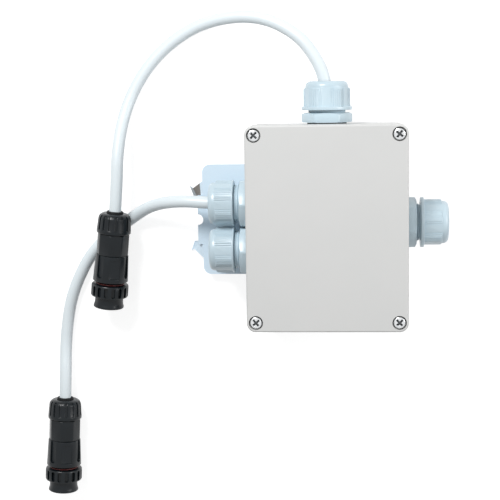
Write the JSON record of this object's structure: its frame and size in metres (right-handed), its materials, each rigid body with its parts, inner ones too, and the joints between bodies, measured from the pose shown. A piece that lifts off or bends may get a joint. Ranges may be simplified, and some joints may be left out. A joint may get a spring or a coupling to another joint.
{
  "type": "electrical junction box",
  "caption": "Rectangular plastic junction box with a screwed lid, cable glands in its sides, a clawed mounting plate and two short cables that end in outdoor connectors.",
  "frame": {"origin": "on the plane that the mounting claws rest on, under the middle of the lid", "axes": "+Z out of the lid, +Y towards the gland at the head of the box, +X towards the single gland on the right side"},
  "size_m": [0.2435, 0.2891, 0.063],
  "materials": {
    "enclosure_plastic": "satin",
    "gland_plastic": "satin",
    "black_rubber": "matt",
    "grey_rubber": "matt",
    "red_rubber": "matt",
    "black_plastic": "matt",
    "screw_steel": "bright",
    "plate_steel": "satin",
    "terminal_plastic": "satin",
    "brass": "satin",
    "cable_jacket": "satin",
    "brown_core": "satin",
    "blue_core": "satin",
    "earth_core": "satin"
  },
  "bodies": {
    "box": {"enclosure_base": "enclosure_plastic", "screw_inserts": "brass", "rail_plate": "plate_steel", "plate_screws": "screw_steel", "gland_top_body": "gland_plastic", "gland_top_seal": "grey_rubber", "gland_top_washer": "black_rubber", "gland_top_locknut": "gland_plastic", "gland_right_body": "gland_plastic", "gland_right_seal": "grey_rubber", "gland_right_washer": "black_rubber", "gland_right_locknut": "gland_plastic", "gland_left_upper_body": "gland_plastic", "gland_left_upper_seal": "grey_rubber", "gland_left_upper_washer": "black_rubber", "gland_left_upper_locknut": "gland_plastic", "gland_left_lower_body": "gland_plastic", "gland_left_lower_seal": "grey_rubber", "gland_left_lower_washer": "black_rubber", "gland_left_lower_locknut": "gland_plastic", "terminal_block": "terminal_plastic", "terminal_clamps": "brass", "terminal_screws": "screw_steel", "terminal_fixings": "screw_steel", "top_core_brown": "brown_core", "top_core_blue": "blue_core", "top_core_earth": "earth_core", "left_core_brown": "brown_core", "left_core_blue": "blue_core", "left_core_earth": "earth_core", "jacket_top": "cable_jacket", "cable_top": "cable_jacket", "jacket_left": "cable_jacket", "cable_left": "cable_jacket", "connector_upper_grommet": "black_rubber", "connector_upper_body": "black_plastic", "connector_upper_seal": "red_rubber", "connector_upper_carrier": "black_plastic", "connector_upper_contacts": "brass", "connector_lower_grommet": "black_rubber", "connector_lower_body": "black_plastic", "connector_lower_seal": "red_rubber", "connector_lower_carrier": "black_plastic", "connector_lower_contacts": "brass"},
    "lid": {"enclosure_lid": "enclosure_plastic", "lid_gasket": "grey_rubber"},
    "screw_1": {"lid_screw_1": "screw_steel"},
    "screw_2": {"lid_screw_2": "screw_steel"},
    "screw_3": {"lid_screw_3": "screw_steel"},
    "screw_4": {"lid_screw_4": "screw_steel"},
    "nut_top": {"gland_top_nut": "gland_plastic"},
    "nut_right": {"gland_right_nut": "gland_plastic"},
    "nut_left_upper": {"gland_left_upper_nut": "gland_plastic"},
    "nut_left_lower": {"gland_left_lower_nut": "gland_plastic"},
    "cap_upper": {"connector_upper_cap_nut": "black_plastic"},
    "coupling_upper": {"connector_upper_coupling_ring": "black_plastic"},
    "cap_lower": {"connector_lower_cap_nut": "black_plastic"},
    "coupling_lower": {"connector_lower_coupling_ring": "black_plastic"}
  },
  "joints": [
    {"name": "lid_lift", "type": "slide", "parent": "box", "child": "lid", "axis": [0, 0, 1], "range_m": [0, 0.06]},
    {"name": "screw_1_turn", "type": "hinge", "parent": "lid", "child": "screw_1", "pos_m": [-0.0399, -0.0522, 0.06], "axis": [0, 0, 1], "continuous": true},
    {"name": "screw_2_turn", "type": "hinge", "parent": "lid", "child": "screw_2", "pos_m": [-0.0399, 0.0522, 0.06], "axis": [0, 0, 1], "continuous": true},
    {"name": "screw_3_turn", "type": "hinge", "parent": "lid", "child": "screw_3", "pos_m": [0.0399, -0.0522, 0.06], "axis": [0, 0, 1], "continuous": true},
    {"name": "screw_4_turn", "type": "hinge", "parent": "lid", "child": "screw_4", "pos_m": [0.0399, 0.0522, 0.06], "axis": [0, 0, 1], "continuous": true},
    {"name": "nut_top_turn", "type": "hinge", "parent": "box", "child": "nut_top", "pos_m": [0, 0.0566, 0.028], "axis": [0, 1, 0], "continuous": true},
    {"name": "nut_right_turn", "type": "hinge", "parent": "box", "child": "nut_right", "pos_m": [0.0441, 0, 0.028], "axis": [1, 0, 0], "continuous": true},
    {"name": "nut_left_upper_turn", "type": "hinge", "parent": "box", "child": "nut_left_upper", "pos_m": [-0.0441, 0.0117, 0.028], "axis": [-1, 0, 0], "continuous": true},
    {"name": "nut_left_lower_turn", "type": "hinge", "parent": "box", "child": "nut_left_lower", "pos_m": [-0.0441, -0.0153, 0.028], "axis": [-1, 0, 0], "continuous": true},
    {"name": "cap_upper_turn", "type": "hinge", "parent": "box", "child": "cap_upper", "pos_m": [-0.1254, 0.0067, 0.0189], "axis": [-0.1078, -0.9923, -0.061], "continuous": true},
    {"name": "coupling_upper_turn", "type": "hinge", "parent": "box", "child": "coupling_upper", "pos_m": [-0.1254, 0.0067, 0.0189], "axis": [-0.1078, -0.9923, -0.061], "continuous": true},
    {"name": "cap_lower_turn", "type": "hinge", "parent": "box", "child": "cap_lower", "pos_m": [-0.161, -0.108, 0.0105], "axis": [-0.0523, -0.9985, 0.014], "continuous": true},
    {"name": "coupling_lower_turn", "type": "hinge", "parent": "box", "child": "coupling_lower", "pos_m": [-0.161, -0.108, 0.0105], "axis": [-0.0523, -0.9985, 0.014], "continuous": true}
  ]
}
